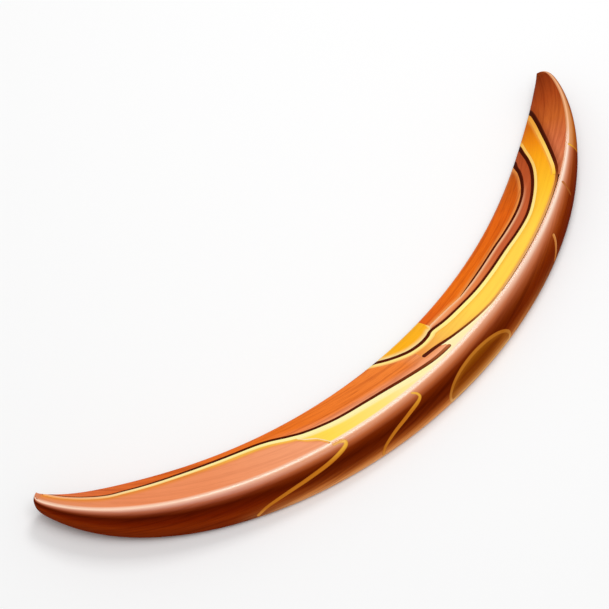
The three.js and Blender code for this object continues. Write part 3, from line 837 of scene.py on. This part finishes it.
def side_colour_and_painted_light(tree):
    """Colour of the outer side with light painted in: a painted highlight along the ridge,
    painted shade below it and a painted glow of reflected light at the lower rim.
    """
    down, along = field(tree, "down"), field(tree, "along")
    # Each ramp runs down the side from a painted highlight at the ridge into painted shade; the middle
    # one ends in a painted glow at the lower rim.
    left = ramp(tree, down, [
        (0.0, "fcd4b8"), (0.06, "e2a58a"), (0.12, "c98064"), (0.2, "b46040"), (0.3, "7e3012"),
        (0.4, "581400"), (0.6, "761e00"), (0.75, "8a2e04"), (1.0, "7e2c0a"), (2.0, "6b2c12")])
    middle = ramp(tree, down, [
        (0.0, "f8ccae"), (0.07, "e0966e"), (0.2, "b25a2c"), (0.3, "762804"), (0.48, "581600"),
        (0.66, "762804"), (0.78, "a8521c"), (0.9, "e08c48"), (1.0, "f6b478"), (1.1, "c87c40"),
        (2.0, "6b2c12")])
    right = ramp(tree, down, [
        (0.0, "dca684"), (0.05, "fde6d4"), (0.1, "f2ccb4"), (0.15, "dc9c7e"), (0.2, "d28460"),
        (0.3, "be6438"), (0.42, "9e4414"), (0.55, "882e02"), (0.8, "782200"), (2.0, "6b2c12")])
    body = mix(tree, between(tree, along, -150, -90), left, middle)
    body = mix(tree, between(tree, along, 30, 150), body, right)
    # Peach painted highlight along the ridge near the right tip.
    tip = ramp(tree, down, [
        (0.0, "e2a070"), (0.06, "f4bc90"), (0.12, "e6a06c"), (0.2, "d08a50"), (0.35, "b0561c"),
        (0.6, "82340c"), (2.0, "6b2c12")])
    body = mix(tree, between(tree, along, 190, 222), body, tip)
    rail = calc(tree, "MULTIPLY", between(tree, field(tree, "rail"), 0.0, 0.3),
                between(tree, along, 80, 115))
    body = mix(tree, rail, body, rgb("cf8a58"))
    end = mix(tree, between(tree, along, -50, 50), rgb("dd8a62"), rgb("8c3a14"))
    return mix(tree, between(tree, down, 2.6, 2.9), body, end)


def crest_gloss(tree):
    """The outer side is polished along the ridge and satin below it."""
    polish = between(tree, field(tree, "down"), 0.35, 0.08)
    return calc(tree, "ADD", calc(tree, "MULTIPLY", polish, 0.5), 0.015)


def side_streak(tree):
    """Streaks of the outer side, fainter along the ridge."""
    below = between(tree, field(tree, "down"), 0.1, 0.5)
    return calc(tree, "ADD", calc(tree, "MULTIPLY", below, 0.34), 0.06)


def outer_side():
    """The blank and every piece let into its outer side."""
    core_blank(wood("side_wood_painted_light", side_colour_and_painted_light, 20.0, side_streak, 2.2, 0.16, "drop", crest_gloss, 0.1))
    # Paler at the ridge and lighter at the lower rim: the painted highlight and painted glow of the
    # blank around it.
    gold = wood("side_gold", edged(
        lambda tree: ramp(tree, field(tree, "down"), [
            (0.0, "e8a468"), (0.1, "f4b848"), (0.22, "f2b438"), (0.4, "cc7a1c"), (0.8, "cc7820"),
            (1.0, "e8a04c")]),
        low=("b4641c", 0.7, 0.6), high=("b4641c", 0.7, 0.6)), 21.0, 0.15, coat=crest_gloss)
    # The pale tint along one edge is a painted highlight.
    tan = wood("side_tan", edged(
        lambda tree: ramp(tree, field(tree, "down"), [(0.4, "e09248"), (1.0, "cc7430")]),
        low=("f0b474", 0.9, 0.7), high=("b4601c", 0.9, 0.6)), 21.5, 0.15, coat=crest_gloss)
    honey = wood("side_honey", edged(
        lambda tree: ramp(tree, field(tree, "down"), [(0.0, "c8783c"), (0.6, "a05018")]),
        low=("8a4a1c", 0.4, 0.6), high=("8a4a1c", 0.4, 0.6)), 22.0, 0.15, coat=crest_gloss)
    side_line("side_line_long", [(-28, 4), (-26.2, 5), (-25, 13), (-26, 24), (-30.2, 38), (-36.6, 51),
                                 (-42.5, 64), (-47, 79), (-49.4, 97)], 2.7, gold)
    side_line("side_line_middle", [(-5.3, 6), (-4.2, 18), (-4.7, 30), (-8.9, 42), (-13.3, 55),
                                   (-16.4, 70), (-17.6, 84), (-17.8, 97)], 2.4, gold, 0.7)
    side_line("side_line_short", [(50, 40), (49.4, 57), (48.2, 76), (46.8, 95)], 2.9, tan, 0.8)
    side_line("side_line_fine", [(63.6, 10), (62.9, 33), (62.5, 60)], 1.6, honey)
    side_line("side_line_tip", [(74.4, 6), (74.4, 28), (74.7, 50), (75.2, 68), (75.8, 82)], 1.6, gold)
    # Lightest toward the lower rim: a painted glow, as on the blank.
    rim = wood("oval_rim", edged(
        lambda tree: ramp(tree, field(tree, "down"), [
            (0.34, "bc7424"), (0.6, "b86c1c"), (0.8, "cc8438"), (0.95, "f0b670")]),
        low=("a45418", 0.7, 0.5), high=("9c5210", 0.7, 0.5)), 22.5, 0.15, coat=crest_gloss)
    # The fill is darker at its heart and lighter toward the lower rim: painted glow, as on the blank.
    oval_pieces(rim, wood("oval_wood", edged(
        lambda tree: ramp(tree, field(tree, "down"), [
            (0.4, "8e4c06"), (0.6, "803604"), (0.7, "92460c"), (0.8, "b66826"), (0.95, "e09e5a")]),
        low=("a45c14", 3.0, 0.5)), 23.0, 0.25, coat=crest_gloss))

    def patch_colour(tree):
        """Amber, lighter toward the ridge with the painted highlight there, that fades into the
        blank's colour and painted light at the rim and toward the tip.
        """
        amber = ramp(tree, field(tree, "down"), [(0.1, "e8a468"), (0.4, "c2681e"), (0.7, "9a440c")])
        fade = calc(tree, "MAXIMUM", between(tree, field(tree, "high"), 16.0, 0.0),
                    between(tree, field(tree, "rim"), 1.2, 0.0))
        return mix(tree, fade, amber, side_colour_and_painted_light(tree))
    tip_patch(wood("patch_wood", patch_colour, 24.0, 0.25, coat=crest_gloss))


# ------------------------------------------------------------------ stage

def stage():
    """Plain pale floor."""
    half = 6.0
    corners = [(-half, -half, 0), (half, -half, 0), (half, half, 0), (-half, half, 0)]
    mesh = bpy.data.meshes.new("floor")
    mesh.from_pydata(corners, [], [(0, 1, 2, 3)])
    floor = bpy.data.objects.new("floor", mesh)
    material = bpy.data.materials.new("floor_paper")
    material.use_nodes = True
    shader = material.node_tree.nodes["Principled BSDF"]
    shader.inputs["Base Color"].default_value = (0.92, 0.92, 0.92, 1)
    shader.inputs["Roughness"].default_value = 0.9
    shader.inputs["Specular IOR Level"].default_value = 0.1
    mesh.materials.append(material)
    bpy.context.scene.collection.objects.link(floor)


def softbox(name, azimuth, elevation, distance, width, height, radiance):
    """Rectangular lamp that faces the object from a direction in degrees (azimuth 0 is +X)."""
    turn, rise = math.radians(azimuth), math.radians(elevation)
    away = Vector((math.cos(turn) * math.cos(rise), math.sin(turn) * math.cos(rise), math.sin(rise)))
    light = bpy.data.lights.new(name, "AREA")
    light.shape = "RECTANGLE"
    light.size, light.size_y = width, height
    light.energy = radiance * width * height * math.pi
    lamp = bpy.data.objects.new(name, light)
    lamp.location = away * distance
    lamp.rotation_mode = "QUATERNION"
    lamp.rotation_quaternion = away.to_track_quat("Z", "Y")
    bpy.context.scene.collection.objects.link(lamp)


def lights():
    """Even white surroundings, a lamp for the crest's highlight and a soft one overhead."""
    world = bpy.data.worlds.new("studio")
    world.use_nodes = True
    background = world.node_tree.nodes["Background"]
    background.inputs["Color"].default_value = (1, 1, 1, 1)
    background.inputs["Strength"].default_value = 0.5
    bpy.context.scene.world = world
    softbox("crest_light", 38, 56, 1.6, 0.5, 0.5, 9.0)
    softbox("overhead", 240, 80, 1.7, 1.2, 1.2, 2.5)


CAMERA_AZIMUTH = -44.9  # degrees, from straight in front
CAMERA_ELEVATION = 57.8
CAMERA_DISTANCE = 1.8
CAMERA_TARGET = (-5.8, 98.1 + RIDGE_Y, 0)  # millimetres
LENS = 169.9
SENSOR = 36.0


def camera():
    """Long lens that looks down on the blade from the front left."""
    data = bpy.data.cameras.new("camera")
    made = bpy.data.objects.new("camera", data)
    bpy.context.scene.collection.objects.link(made)
    bpy.context.scene.camera = made
    azimuth, elevation = math.radians(CAMERA_AZIMUTH), math.radians(CAMERA_ELEVATION)
    level = math.cos(elevation)
    back = Vector((math.sin(azimuth) * level, -math.cos(azimuth) * level, math.sin(elevation)))
    made.location = Vector(CAMERA_TARGET) * MM + back * CAMERA_DISTANCE
    made.rotation_mode = "QUATERNION"
    made.rotation_quaternion = back.to_track_quat("Z", "Y")
    data.sensor_width = SENSOR
    data.lens = LENS
    data.clip_start, data.clip_end = 0.05, 20.0


bpy.context.scene.view_settings.view_transform = "Standard"
camera()
stage()
lights()
outer_side()
top_panels()
top_lines()
